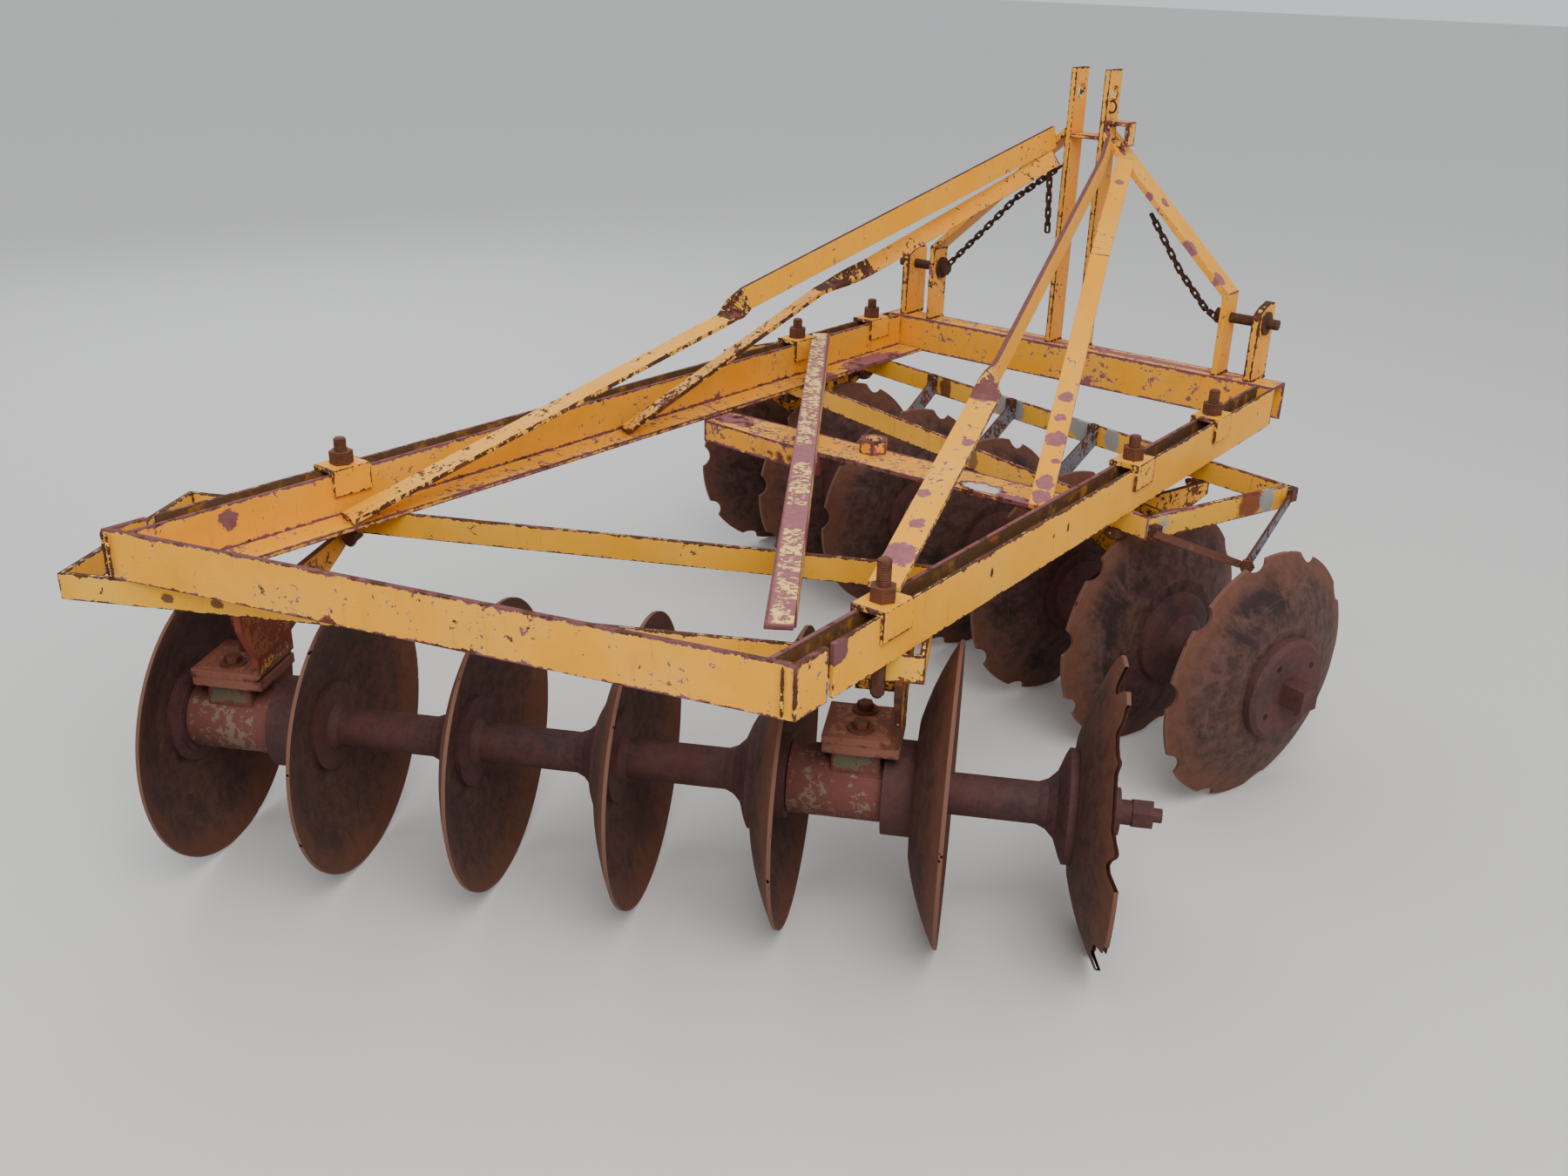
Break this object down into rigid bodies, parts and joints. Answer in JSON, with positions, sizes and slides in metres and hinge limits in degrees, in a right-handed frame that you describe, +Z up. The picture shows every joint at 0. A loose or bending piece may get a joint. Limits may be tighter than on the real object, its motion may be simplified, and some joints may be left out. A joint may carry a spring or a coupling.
{
  "type": "disc harrow",
  "caption": "Mounted offset disc harrow: open trapezoid frame of flat bars with a three-point hitch mast, over a notched front gang and a plain rear gang of discs.",
  "frame": {"origin": "middle of the bounding box in plan, on the ground under the discs", "axes": "+X the machine's right, +Y the way it is drawn, +Z up"},
  "size_m": [1.6695, 2.1902, 1.189],
  "materials": {
    "yellow_paint": "worn, chipped",
    "old_paint": "faded",
    "scraper_paint": "faded",
    "disc_rust": "rusted",
    "cast_rust": "rusted",
    "dark_steel": "rusted"
  },
  "bodies": {
    "frame": {"rear_crossbar": "yellow_paint", "front_crossbar": "yellow_paint", "left_outer_flat": "yellow_paint", "right_outer_flat": "yellow_paint", "left_inner_angle": "yellow_paint", "right_inner_angle": "yellow_paint", "mid_channel": "yellow_paint", "diagonal_brace": "yellow_paint", "left_mast_post": "yellow_paint", "right_mast_post": "yellow_paint", "mast_bracket": "yellow_paint", "left_long_stay": "yellow_paint", "left_short_stay": "yellow_paint", "right_long_stay": "yellow_paint", "right_short_stay": "yellow_paint", "left_hitch_strut": "yellow_paint", "right_hitch_strut": "yellow_paint", "left_clevis_plate": "yellow_paint", "right_clevis_plate": "yellow_paint", "left_low_pin": "dark_steel", "right_low_pin": "dark_steel", "left_chain": "dark_steel", "right_chain": "dark_steel", "spare_chain": "dark_steel", "rear_gang_bars": "yellow_paint", "rear_gang_ends": "yellow_paint", "front_gang_bars": "yellow_paint", "front_gang_ends": "yellow_paint", "rear_standards": "yellow_paint", "front_standards": "yellow_paint", "rear_bearings": "old_paint", "front_bearings": "old_paint", "scrapers": "scraper_paint", "clamp_saddles": "yellow_paint", "clamp_bolts": "dark_steel"},
    "rear_gang": {"rear_discs": "disc_rust", "rear_spools": "cast_rust", "rear_gang_bolt": "cast_rust"},
    "front_gang": {"front_discs": "disc_rust", "front_spools": "cast_rust", "front_gang_bolt": "cast_rust"}
  },
  "joints": [
    {"name": "rear_gang_spin", "type": "hinge", "parent": "frame", "child": "rear_gang", "pos_m": [-0.5348, -0.88983, 0.235], "axis": [0.8738, 0.4863, 0], "continuous": true},
    {"name": "front_gang_spin", "type": "hinge", "parent": "frame", "child": "front_gang", "pos_m": [-0.7078, 0.80217, 0.235], "axis": [0.9605, -0.2782, 0], "continuous": true}
  ]
}
